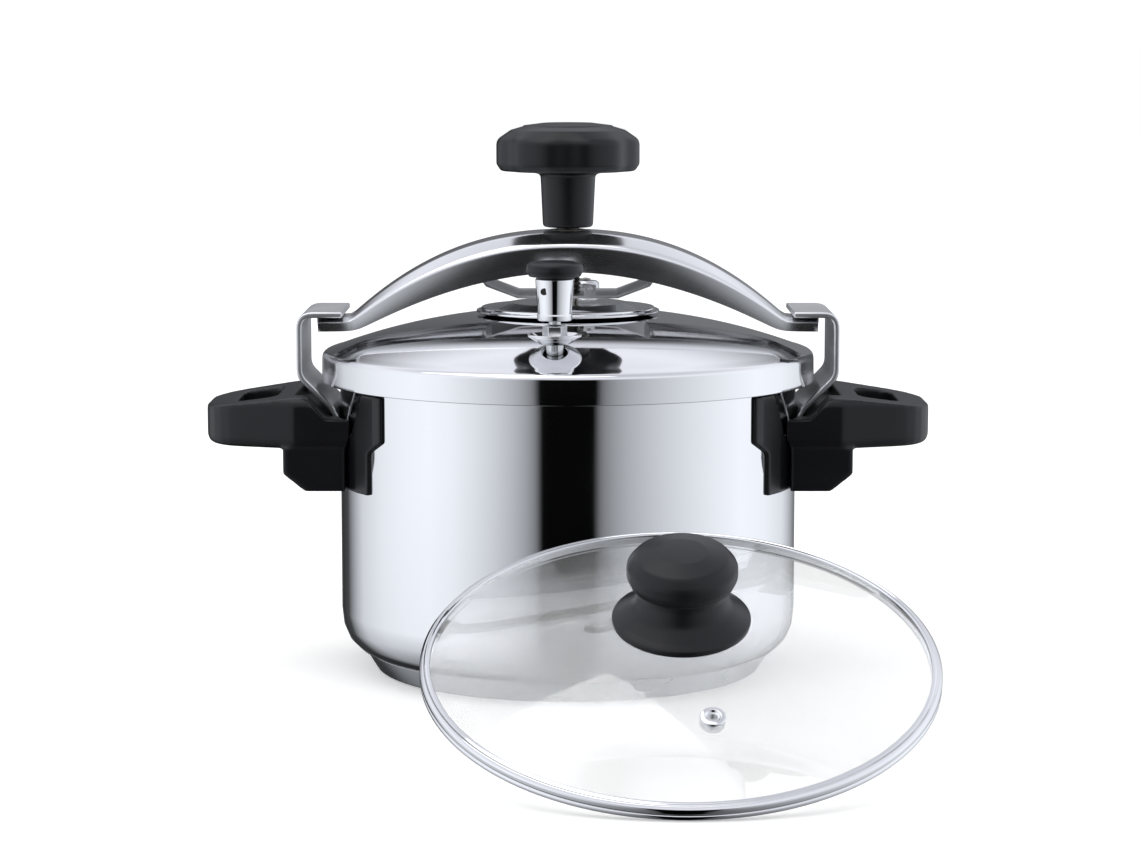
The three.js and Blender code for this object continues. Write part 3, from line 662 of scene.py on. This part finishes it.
class COOKER_OT_valves(bpy.types.Operator):
    """Turn the working valve, its weight and cap, and the safety valve"""

    bl_idname = "cooker.valves"
    bl_label = "Valves"

    def execute(self, context):
        place = centre_of("valve_cap")
        low, high = node_box("valve_cap")
        radius = (high.x - low.x) / 2
        height = high.z - low.z
        turned_piece(
            "weight_cap",
            "weight",
            "black_plastic",
            [
                (0, low.z),
                (radius - 1.4 * MM, low.z, 1 * MM),
                (radius, low.z + 0.35 * height, 2 * MM),
                (radius - 0.3 * MM, low.z + 0.78 * height, 2 * MM),
                (radius - 4.5 * MM, low.z + 0.97 * height, 3 * MM),
                (0, high.z),
            ],
            ("valve_cap",),
            64,
            place,
        )
        low, high = node_box("valve_weight")
        top_radius = (high.x - low.x) / 2
        turned_piece(
            "weight_body",
            "weight",
            "polished_steel",
            [
                (0, low.z + 14.4 * MM),
                (3.3 * MM, low.z + 14.4 * MM),
                (3.3 * MM, low.z, 0.4 * MM),
                (top_radius - 1.2 * MM, low.z, 0.8 * MM),
                (top_radius - 0.8 * MM, low.z + 2.5 * MM, 0.3 * MM),
                (top_radius - 1.1 * MM, low.z + 3.2 * MM, 0.3 * MM),
                (top_radius, high.z - 1 * MM, 0.6 * MM),
                (top_radius - 0.6 * MM, high.z, 0.4 * MM),
                (0, high.z),
            ],
            ("valve_weight",),
            72,
            place,
        )
        # The weight has no real steam hole: a thin dark disc of the rubber finish stands on its face there,
        # painted shade in place of the hole's dark inside.
        painted_hole_shade = turned(filleted([(0, 0), (1.6 * MM, 0), (1.6 * MM, 0.25 * MM), (0, 0.25 * MM)]), 24)
        bmesh.ops.rotate(painted_hole_shade, verts=painted_hole_shade.verts, matrix=Matrix.Rotation(math.pi / 2, 3, "X"))
        hole_left = 4.9 * MM
        hole_drop = 6.1 * MM
        hole_sink = 0.1 * MM
        face = math.sqrt(top_radius**2 - hole_left**2)
        middle = place.translation
        hole_place = (middle.x - hole_left, middle.y - face + hole_sink, high.z - hole_drop)
        bmesh.ops.translate(painted_hole_shade, vec=hole_place, verts=painted_hole_shade.verts)
        # Painted shade: this dark disc stands for the shaded inside of the steam hole, not for a rubber part.
        piece(painted_hole_shade, "painted_hole_shade", "weight", "rubber")
        low, high = node_box("valve_dish")
        rim = (high.x - low.x) / 2
        turned_piece(
            "steam_dish",
            "lid",
            "polished_steel",
            [
                (4.3 * MM, low.z),
                (6.5 * MM, low.z, 1 * MM),
                (rim - 0.4 * MM, high.z - 1.2 * MM, 0.6 * MM),
                (rim, high.z - 0.2 * MM, 0.4 * MM),
                (rim - 0.8 * MM, high.z, 0.4 * MM),
                (6.2 * MM, low.z + 1 * MM, 1 * MM),
                (4.3 * MM, low.z + 1 * MM),
            ],
            ("valve_dish",),
            72,
            place,
            closed=True,
        )
        low, high = node_box("safety_valve_body")
        flange = (high.x - low.x) / 2
        seat = high.z - 13.6 * MM
        turned_piece(
            "safety_body",
            "lid",
            "satin_steel",
            [
                (1.9 * MM, low.z),
                (4 * MM, low.z, 0.4 * MM),
                (4 * MM, seat),
                (flange, seat, 0.5 * MM),
                (flange, seat + 2.4 * MM, 0.8 * MM),
                (flange - 1 * MM, seat + 3.2 * MM, 0.4 * MM),
                (flange - 1 * MM, seat + 7.6 * MM, 0.2 * MM),
                (flange - 1.6 * MM, seat + 8.2 * MM, 0.2 * MM),
                (flange - 1 * MM, seat + 8.8 * MM, 0.2 * MM),
                (flange - 1 * MM, high.z - 1.2 * MM, 0.8 * MM),
                (flange - 2.4 * MM, high.z, 0.8 * MM),
                (1.9 * MM, high.z, 0.3 * MM),
            ],
            ("safety_valve_body",),
            56,
            centre_of("safety_valve_body"),
            closed=True,
        )
        for node in ("valve_nut", "valve_lock_nut", "safety_valve_nut", "valve_stem"):
            paint(node, "satin_steel", 0.3 * MM)
        paint("safety_valve_pin", "thread_steel", 0.2 * MM)
        return {"FINISHED"}


# Bridge, spindle and knob


class COOKER_OT_bridge(bpy.types.Operator):
    """Press the crowned bridge, and give the strip under it its finish"""

    bl_idname = "cooker.bridge"
    bl_label = "Bridge"

    def execute(self, context):
        sheet = context.scene.cooker_sizes.bridge_sheet
        tab_start = node_box("right_hook")[0].x
        crown = arch_low.z + 48.7 * MM
        tab_top = arch_low.z + 7.1 * MM
        crown_drop = crown - tab_top + 1.5 * MM
        lower_edge = crown - 19.2 * MM
        lower_drop = lower_edge - arch_low.z + 2.5 * MM
        half_width = arch_high.y
        tab_half = 18 * MM
        end = arch_high.x

        def crown_at(x):
            return soft_max(crown - crown_drop * abs(x / tab_start) ** 2.33, tab_top - 0.4 * MM, 1.2 * MM)

        def lower_at(x):
            return soft_max(lower_edge - lower_drop * abs(x / tab_start) ** 1.9, arch_low.z, 2 * MM)

        def width_at(x):
            return soft_max(half_width - (half_width - tab_half) * (x / tab_start) ** 2, tab_half, 0.8 * MM)

        section = filleted(
            [
                (-1, -1),
                (-0.985, -0.3, 0.22),
                (-0.6, -0.045, 0.3),
                (0, 0, 0.3),
                (0.6, -0.045, 0.3),
                (0.985, -0.3, 0.22),
                (1, -1),
            ],
            steps=6,
        )
        mesh = bmesh.new()
        verts = [mesh.verts.new((0, u, v)) for u, v in section]
        for pair in zip(verts, verts[1:]):
            mesh.edges.new(pair)
        front, stations = list(mesh.edges), 96
        for _ in range(stations):
            made = bmesh.ops.extrude_edge_only(mesh, edges=front)["geom"]
            moved = [part for part in made if isinstance(part, bmesh.types.BMVert)]
            front = [part for part in made if isinstance(part, bmesh.types.BMEdge)
                     and all(vert in moved for vert in part.verts)]
            bmesh.ops.translate(mesh, vec=(1, 0, 0), verts=moved)
        for vert in mesh.verts:
            share = 2 * vert.co.x / stations - 1
            u, v = vert.co.y, vert.co.z
            reach = math.sqrt(end**2 - (width_at(end) * u) ** 2)
            x = share * reach
            depth = crown_at(x) - lower_at(x)
            vert.co = (x, u * width_at(x), crown_at(x) + v * depth)
        bmesh.ops.recalc_face_normals(mesh, faces=mesh.faces)
        if sum(face.normal.z for face in mesh.faces) < 0:
            bmesh.ops.reverse_faces(mesh, faces=mesh.faces)
        bmesh.ops.solidify(mesh, geom=list(mesh.faces) + list(mesh.edges) + list(mesh.verts), thickness=sheet)
        lift = arch_high.z - max(vert.co.z for vert in mesh.verts)
        bmesh.ops.translate(mesh, vec=(0, 0, lift), verts=mesh.verts)
        arch = piece(mesh, "bridge_press", "bridge", "polished_steel", ("bridge_arch",))
        bevelled(arch, 0.5 * MM, 2, 0.9)
        arch.data.materials[0] = finishes["pressed_steel"]
        paint("bridge_strip", "worn_steel", 0.25 * MM)
        paint("bridge_bush", "thread_steel", 0.3 * MM)
        return {"FINISHED"}


def soft_max(a, b, blend):
    """The larger of two heights, with a smooth change from one to the other."""
    return (a + b + math.sqrt((a - b) ** 2 + blend**2)) / 2


class COOKER_OT_knob(bpy.types.Operator):
    """Mould the lobed clamp knob and turn its threaded spindle"""

    bl_idname = "cooker.knob"
    bl_label = "Clamp knob"

    def execute(self, context):
        sizes = context.scene.cooker_sizes
        radius, bottom, top = knob_high.x, knob_low.z, knob_high.z
        under = bottom + 26.7 * MM
        rim_top = under + 19 * MM
        profile = filleted(
            [
                (0, under - 0.2 * MM),
                (6.9 * MM, under - 0.2 * MM),
                (6.9 * MM, bottom, 0.5 * MM),
                (12.2 * MM, bottom, 2.2 * MM),
                (13.4 * MM, under - 1 * MM, 2.5 * MM),
                (20 * MM, under + 0.2 * MM, 3 * MM),
                (radius - 2.2 * MM, under + 0.6 * MM, 2.6 * MM),
                (radius, under + 4 * MM, 3 * MM),
                (radius, rim_top - 3.4 * MM, 5 * MM),
                (radius - 7 * MM, rim_top + 1.4 * MM, 4 * MM),
                (22 * MM, rim_top + 3.1 * MM, 2 * MM),
                (21.4 * MM, rim_top + 3.6 * MM, 0.6 * MM),
                (12 * MM, rim_top + 4.8 * MM, 8 * MM),
                (0, top),
            ],
            steps=6,
        )
        mesh = turned(profile, 144)
        high_edge = rim_top + 1 * MM
        inner = 0.72 * radius
        for vert in mesh.verts:
            out = math.hypot(vert.co.x, vert.co.y)
            if out <= inner or not under <= vert.co.z <= high_edge:
                continue
            angle = math.atan2(vert.co.y, vert.co.x) + math.pi / 2
            dip = (0.5 + 0.5 * math.cos(sizes.knob_lobes * angle)) ** 2.2
            share = (out - inner) / (radius - inner)
            factor = 1 - sizes.knob_hollow * dip * share / out
            vert.co.x *= factor
            vert.co.y *= factor
        piece(mesh, "knob_moulding", "knob", "black_plastic", ("clamp_knob",), 60)
        low, high = node_box("spindle")
        tooth = sizes.thread_pitch
        thread_low, thread_high = cup_high.z + 2 * MM, bottom + 6 * MM
        outer, root = high.x, high.x - 1.1 * MM
        turns = int((thread_high - thread_low) / tooth)
        thread = [(root, thread_low)]
        for i in range(turns):
            start = thread_low + i * tooth
            thread += [(outer - 0.1 * MM, start + 0.42 * tooth), (outer - 0.1 * MM, start + 0.58 * tooth),
                       (root, start + tooth)]
        turned_piece(
            "spindle_thread",
            "knob",
            "thread_steel",
            [
                (0, low.z),
                (5 * MM, low.z, 0.5 * MM),
                (5 * MM, cup_high.z + 0.4 * MM),
                (root, cup_high.z + 0.4 * MM),
                *thread,
                (root, high.z),
                (0, high.z),
            ],
            ("spindle",),
            48,
        )
        paint("spindle_clip", "satin_steel")
        return {"FINISHED"}


# Glass lid


class COOKER_OT_glass_lid(bpy.types.Operator):
    """Spin the glass lid in its own frame and lean it on the pot"""

    bl_idname = "cooker.glass_lid"
    bl_label = "Glass lid"

    def execute(self, context):
        steps = context.scene.cooker_sizes.round_steps
        low, high = node_box("glass_rim")
        axis = Vector(next(j["axis"] for j in frame["joints"] if j["name"] == "glass_lid_lift"))
        tilt = math.atan2(-axis.y, axis.z)
        outer = (high.x - low.x) / 2
        bottom, side_top = -1.2 * MM, 3.6 * MM
        origin = (
            (low.x + high.x) / 2,
            low.y + outer * math.cos(tilt) + side_top * math.sin(tilt),
            outer * math.sin(tilt) - bottom * math.cos(tilt),
        )
        place = Matrix.Translation(origin) @ Matrix.Rotation(tilt, 4, "X")
        thickness, rise, lip, wall = 3 * MM, 20 * MM, 4.5 * MM, 2.2 * MM
        pane_radius = outer - wall - 0.3 * MM

        def under(radius):
            return rise * (1 - (radius / pane_radius) ** 2)

        radii = [pane_radius * i / 32 for i in range(33)]
        lower = [(radius, under(radius)) for radius in radii]
        upper = [(radius, height + thickness) for radius, height in reversed(lower)]
        pane = turned_piece("pane", "glass_lid", "glass", lower + upper, ("glass_pane",), steps, place)
        groove, inner = outer - wall, outer - lip
        rim = turned_piece(
            "steel_rim",
            "glass_lid",
            "polished_steel",
            [
                (inner, bottom + 0.8 * MM, 0.3 * MM),
                (inner + 2 * MM, bottom, 0.8 * MM),
                (outer, bottom, 1.2 * MM),
                (outer, 0.5 * MM, 0.8 * MM),
                (outer - 0.7 * MM, 1.1 * MM, 0.5 * MM),
                (outer, 1.7 * MM, 0.8 * MM),
                (outer, side_top, 1.2 * MM),
                (outer - 1.5 * MM, side_top + 1.2 * MM, 0.8 * MM),
                (outer - 2.4 * MM, side_top + 0.7 * MM, 0.5 * MM),
                (outer - 3.3 * MM, side_top + 1.2 * MM, 0.5 * MM),
                (inner, side_top + 1.4 * MM, 0.5 * MM),
                (inner, under(inner) + thickness + 0.3 * MM),
                (groove, thickness + 0.3 * MM),
                (groove, -0.3 * MM),
                (inner, under(inner) - 0.3 * MM),
            ],
            ("glass_rim",),
            steps,
            place,
            closed=True,
        )
        base = rise + thickness + 0.2 * MM
        tall = 34.8 * MM
        flange, head, waist = 29.6 * MM, 23.4 * MM, 18.5 * MM
        knob = turned_piece(
            "lid_knob",
            "glass_lid",
            "black_plastic",
            [
                (0, base),
                (flange - 0.6 * MM, base, 0.6 * MM),
                (flange, base + 2.6 * MM, 1.4 * MM),
                (0.9 * flange, base + 0.13 * tall, 1.4 * MM),
                (0.7 * flange, base + 0.26 * tall, 8 * MM),
                (waist, base + 0.42 * tall, 3 * MM),
                (waist - 0.2 * MM, base + 0.5 * tall, 1.5 * MM),
                (0.93 * head, base + 0.555 * tall, 1.6 * MM),
                (head, base + 0.66 * tall, 3 * MM),
                (head, base + 0.8 * tall, 4 * MM),
                (0.84 * head, base + 0.93 * tall, 4 * MM),
                (0.45 * head, base + 0.985 * tall, 5 * MM),
                (0, base + tall),
            ],
            ("glass_knob",),
            96,
            place,
        )
        vent_x, vent_y = 10.9 * MM, -63 * MM
        ring = math.hypot(vent_x, vent_y)
        slope = math.atan(2 * rise * ring / pane_radius**2)
        seat = under(ring) + thickness
        lean = Matrix.Rotation(slope, 4, Vector((-vent_y, vent_x, 0)))
        vent_place = place @ Matrix.Translation((vent_x, vent_y, seat)) @ lean
        eyelet = turned_piece(
            "vent_eyelet",
            "glass_lid",
            "polished_steel",
            [
                (1.6 * MM, -thickness - 0.8 * MM),
                (5.2 * MM, -thickness - 0.8 * MM, 0.4 * MM),
                (5.2 * MM, -thickness - 0.1 * MM),
                (3.5 * MM, -thickness - 0.1 * MM),
                (3.5 * MM, 0.1 * MM),
                (5.4 * MM, 0.1 * MM, 0.3 * MM),
                (5.2 * MM, 1.1 * MM, 0.6 * MM),
                (3.4 * MM, 1.3 * MM, 0.5 * MM),
                (2.6 * MM, 0.3 * MM, 0.5 * MM),
                (1.6 * MM, 0.3 * MM),
            ],
            ("vent_grommet",),
            48,
            vent_place,
            closed=True,
        )
        paint("glass_knob_washer", "satin_steel", 0.2 * MM)
        paint("glass_knob_screw", "satin_steel", 0.2 * MM)
        # The lid leans close in front of the mirror-bright pot, and is kept out of its reflections.
        fasteners = [frame["nodes"][name] for name in ("glass_knob_washer", "glass_knob_screw")]
        for thing in (pane, rim, knob, eyelet, *fasteners):
            thing.visible_glossy = False
        return {"FINISHED"}


# Studio

FLAG_EDGE = 13.5  # degrees round the cooker, from the point behind the camera
FLAG_LEVEL = 0.002
BACKDROP_LEVEL = 0.15
GAP_LEVEL = 0.03  # in the gap between the left panel and the backdrop, at GAP_ANGLE degrees
GAP_ANGLE = -163
PANEL_STEPS = 12


def panel_stops(side, brightest, edge, edge_level):
    """(degrees, level) of a curved soft panel: it rises from the flag's edge and rounds off to its own."""
    stops = []
    for step in range(PANEL_STEPS + 1):
        angle = FLAG_EDGE + (edge - FLAG_EDGE) * (step / PANEL_STEPS) ** 2
        if angle < brightest:
            level = math.sqrt((angle - FLAG_EDGE) / (brightest - FLAG_EDGE))
        else:
            level = math.sqrt(max(1 - ((angle - brightest) / (edge - brightest)) ** 2, 0))
            level = max(level, edge_level)
        stops.append((side * angle, max(level, FLAG_LEVEL)))
    return stops


def studio_sky(strength):
    """Studio walls that only mirror rays see: a soft panel to each side and a dark flag between them."""
    world = bpy.data.worlds.new("studio")
    bpy.context.scene.world = world
    world.use_nodes = True
    nodes, links = world.node_tree.nodes, world.node_tree.links
    nodes.clear()

    def math_node(kind, first, second=None):
        node = nodes.new("ShaderNodeMath")
        node.operation = kind
        for socket, value in zip(node.inputs, (first, second)):
            if isinstance(value, (int, float)):
                socket.default_value = value
            elif value is not None:
                links.new(value, socket)
        return node.outputs["Value"]

    coordinates = nodes.new("ShaderNodeTexCoord")
    split = nodes.new("ShaderNodeSeparateXYZ")
    links.new(coordinates.outputs["Generated"], split.inputs["Vector"])
    turn = math_node("ARCTAN2", split.outputs["X"], math_node("MULTIPLY", split.outputs["Y"], -1.0))
    share = math_node("ADD", math_node("DIVIDE", turn, 2 * math.pi), 0.5)
    walls = nodes.new("ShaderNodeValToRGB")
    left = panel_stops(-1, 66, 149, 0.06)
    right = panel_stops(1, 95, 162, 0.2)
    stops = [(-180, BACKDROP_LEVEL), (GAP_ANGLE, GAP_LEVEL), *reversed(left), *right, (180, BACKDROP_LEVEL)]
    ramp = walls.color_ramp
    while len(ramp.elements) < len(stops):
        ramp.elements.new(0.5)
    for element, (degrees, level) in zip(ramp.elements, stops):
        element.position = degrees / 360 + 0.5
        element.color = (level * 0.955, level * 0.99, level * 1.055, 1)
    links.new(share, walls.inputs["Fac"])
    overhead = nodes.new("ShaderNodeMapRange")
    overhead.inputs["From Min"].default_value = 0.3
    overhead.inputs["From Max"].default_value = 0.6
    links.new(split.outputs["Z"], overhead.inputs["Value"])
    ceiling = nodes.new("ShaderNodeMix")
    ceiling.data_type = "RGBA"
    heights = nodes.new("ShaderNodeValToRGB")
    heights.color_ramp.elements[0].position = 0.55
    heights.color_ramp.elements[0].color = (0.9, 0.91, 0.99, 1)
    heights.color_ramp.elements[1].position = 0.97
    heights.color_ramp.elements[1].color = (0.56, 0.57, 0.62, 1)
    links.new(split.outputs["Z"], heights.inputs["Fac"])
    links.new(heights.outputs["Color"], ceiling.inputs["B"])
    links.new(overhead.outputs["Result"], ceiling.inputs["Factor"])
    links.new(walls.outputs["Color"], ceiling.inputs["A"])
    below = nodes.new("ShaderNodeMapRange")
    for socket, value in (("From Min", -0.92), ("From Max", -0.22), ("To Min", 0.2), ("To Max", 1.0)):
        below.inputs[socket].default_value = value
    links.new(split.outputs["Z"], below.inputs["Value"])
    lit = nodes.new("ShaderNodeBackground")
    links.new(math_node("MULTIPLY", below.outputs["Result"], strength), lit.inputs["Strength"])
    links.new(ceiling.outputs["Result"], lit.inputs["Color"])
    plain = nodes.new("ShaderNodeBackground")
    plain.inputs["Color"].default_value = (1, 1, 1, 1)
    rays = nodes.new("ShaderNodeLightPath")
    either = nodes.new("ShaderNodeMixShader")
    output = nodes.new("ShaderNodeOutputWorld")
    mirrored = math_node("SUBTRACT", rays.outputs["Is Glossy Ray"], rays.outputs["Is Transmission Ray"])
    links.new(mirrored, either.inputs["Fac"])
    links.new(plain.outputs["Background"], either.inputs[1])
    links.new(lit.outputs["Background"], either.inputs[2])
    links.new(either.outputs["Shader"], output.inputs["Surface"])


class COOKER_OT_studio(bpy.types.Operator):
    """Lay the floor, light the studio and place the camera"""

    bl_idname = "cooker.studio"
    bl_label = "Studio"

    def execute(self, context):
        studio = context.scene.cooker_studio
        scene = context.scene
        scene.view_settings.view_transform = "Standard"
        studio_sky(studio.sky_strength)
        mesh = bmesh.new()
        floor_reach = 8.0
        floor_height = cad_bounds[0][2] - 0.2 * MM
        bmesh.ops.create_grid(mesh, x_segments=1, y_segments=1, size=floor_reach)
        bmesh.ops.translate(mesh, vec=(0, 0, floor_height), verts=mesh.verts)
        data = bpy.data.meshes.new("floor")
        mesh.to_mesh(data)
        mesh.free()
        floor = bpy.data.objects.new("floor", data)
        scene.collection.objects.link(floor)
        material, shader, vector = shader_nodes("floor")
        shader.inputs["Specular IOR Level"].default_value = 0.0
        clouds = noise_value(material, vector, 3.0)
        drive_colour(material, clouds, shader.inputs["Base Color"], (0.96, 0.96, 0.96), 0.995)
        drive_range(material, clouds, shader.inputs["Roughness"], 0.2, 0.24)
        shader.inputs["Emission Color"].default_value = (1, 1, 1, 1)
        shader.inputs["Emission Strength"].default_value = 0.2
        data.materials.append(material)
        floor.visible_glossy = False
        top = bpy.data.lights.new("overhead", "AREA")
        top.size = 1.6
        top.energy = studio.top_power
        lamp = bpy.data.objects.new("overhead", top)
        lamp.location = (-0.5, -0.3, 1.9)
        lamp.rotation_euler = (Vector((0, 0, 0)) - lamp.location).to_track_quat("-Z", "Y").to_euler()
        scene.collection.objects.link(lamp)
        camera_data = bpy.data.cameras.new("camera")
        camera_data.lens = studio.lens
        camera_data.sensor_width = 36
        camera = bpy.data.objects.new("camera", camera_data)
        camera.location = (0.001, -studio.camera_distance, studio.camera_height)
        aim = Vector((0.001, 0, studio.aim_height)) - camera.location
        camera.rotation_euler = aim.to_track_quat("-Z", "Y").to_euler()
        scene.collection.objects.link(camera)
        scene.camera = camera
        return {"FINISHED"}


class COOKER_PT_sidebar(bpy.types.Panel):
    """Lists the steps that build the cooker"""

    bl_label = "Pressure Cooker"
    bl_idname = "COOKER_PT_sidebar"
    bl_space_type = "VIEW_3D"
    bl_region_type = "UI"
    bl_category = "Cooker"

    def draw(self, context):
        for group, _ in SETTINGS:
            settings = getattr(context.scene, group)
            for name in settings.__annotations__:
                self.layout.prop(settings, name)
        for step in STEPS:
            self.layout.operator(step.bl_idname)


SETTINGS = (
    ("cooker_sizes", CookerSizes),
    ("cooker_colours", CookerColours),
    ("cooker_studio", StudioSettings),
)
STEPS = (
    COOKER_OT_studio,
    COOKER_OT_pot,
    COOKER_OT_hooks,
    COOKER_OT_handles,
    COOKER_OT_lid,
    COOKER_OT_valves,
    COOKER_OT_bridge,
    COOKER_OT_knob,
    COOKER_OT_glass_lid,
)


def register():
    for name, settings in SETTINGS:
        bpy.utils.register_class(settings)
        setattr(bpy.types.Scene, name, PointerProperty(type=settings))
    for kind in (*STEPS, COOKER_PT_sidebar):
        bpy.utils.register_class(kind)


def unregister():
    for kind in (COOKER_PT_sidebar, *reversed(STEPS)):
        bpy.utils.unregister_class(kind)
    for name, settings in reversed(SETTINGS):
        delattr(bpy.types.Scene, name)
        bpy.utils.unregister_class(settings)


def main():
    register()
    make_finishes(bpy.context.scene.cooker_colours)
    for step in STEPS:
        group, action = step.bl_idname.split(".")
        getattr(getattr(bpy.ops, group), action)()


if __name__ == "__main__":
    main()
